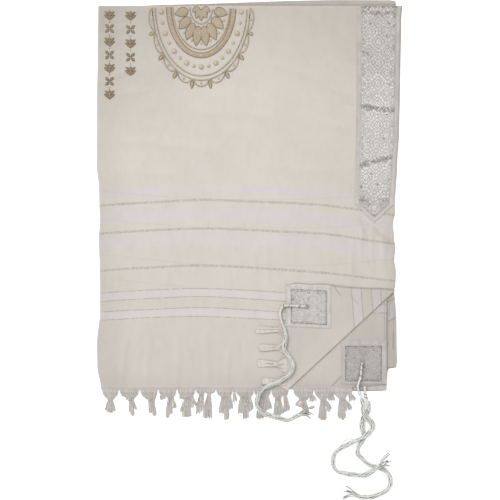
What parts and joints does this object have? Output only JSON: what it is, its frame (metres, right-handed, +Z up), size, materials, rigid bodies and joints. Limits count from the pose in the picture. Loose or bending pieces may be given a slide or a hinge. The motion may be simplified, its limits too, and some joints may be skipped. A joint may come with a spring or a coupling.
{
  "type": "folded prayer shawl",
  "caption": "Prayer shawl folded in quarters and laid flat with one corner turned back, with a brocade collar and corner patches, knotted fringes and twisted corner tassels.",
  "frame": {"origin": "bottom centre of the bounding box, on the surface that the shawl lies on", "axes": "+Y from the fringed hem to the far fold, +X across from the left fold to the neck edge with the collar, +Z up"},
  "size_m": [0.7619, 1.2465, 0.0185],
  "materials": {
    "cloth": "matt fine twill, off-white",
    "ribbon": "satin ribbon, off-white",
    "brocade": "silver and white brocade",
    "fringe": "twisted yarn, off-white",
    "tassel": "twisted cord, white"
  },
  "bodies": {
    "root": {"front_panel": "cloth", "second_layer": "cloth", "lower_layers": "cloth", "corner_flap": "cloth", "collar_ribbon": "ribbon", "collar_brocade": "brocade", "corner_ribbon_front": "ribbon", "corner_brocade_front": "brocade", "corner_ribbon_second": "ribbon", "corner_brocade_second": "brocade", "corner_ribbon_third": "ribbon", "fringe_front": "fringe", "fringe_second": "fringe", "fringe_flap": "fringe", "tassel_front": "tassel", "tassel_second": "tassel", "tassel_third": "tassel"}
  },
  "joints": []
}
